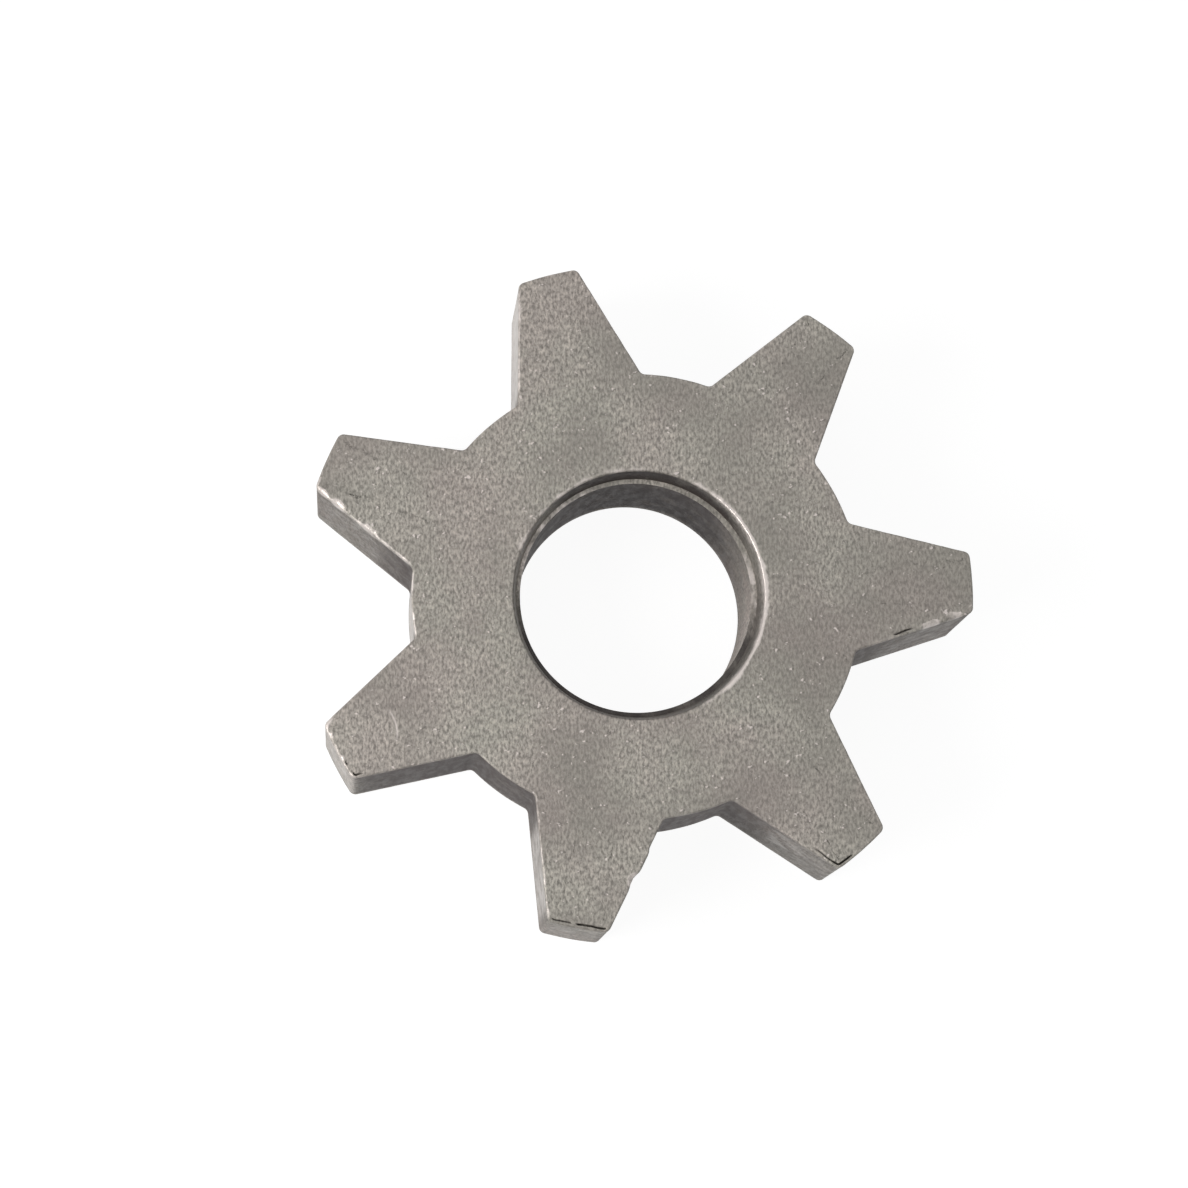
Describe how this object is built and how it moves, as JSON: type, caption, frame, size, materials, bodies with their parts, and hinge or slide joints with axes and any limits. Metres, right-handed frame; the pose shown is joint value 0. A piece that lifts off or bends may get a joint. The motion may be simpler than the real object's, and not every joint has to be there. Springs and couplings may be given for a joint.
{
  "type": "chainsaw sprocket",
  "caption": "Flat one-piece steel spur sprocket with straight tapered teeth and a plain round bore, which turns a saw chain by its drive links.",
  "frame": {"origin": "centre of the bore, half way through the thickness", "axes": "+Z along the bore, out of the face that the picture shows; +Y through the middle of one tooth; +X to the right when that face is seen with +Y up"},
  "size_m": [0.0356, 0.0348, 0.008],
  "materials": {
    "steel": "pressed and sintered steel, matte warm grey, unpolished, with fine grain and small pits"
  },
  "bodies": {
    "root": {"sprocket": "steel"}
  },
  "joints": []
}
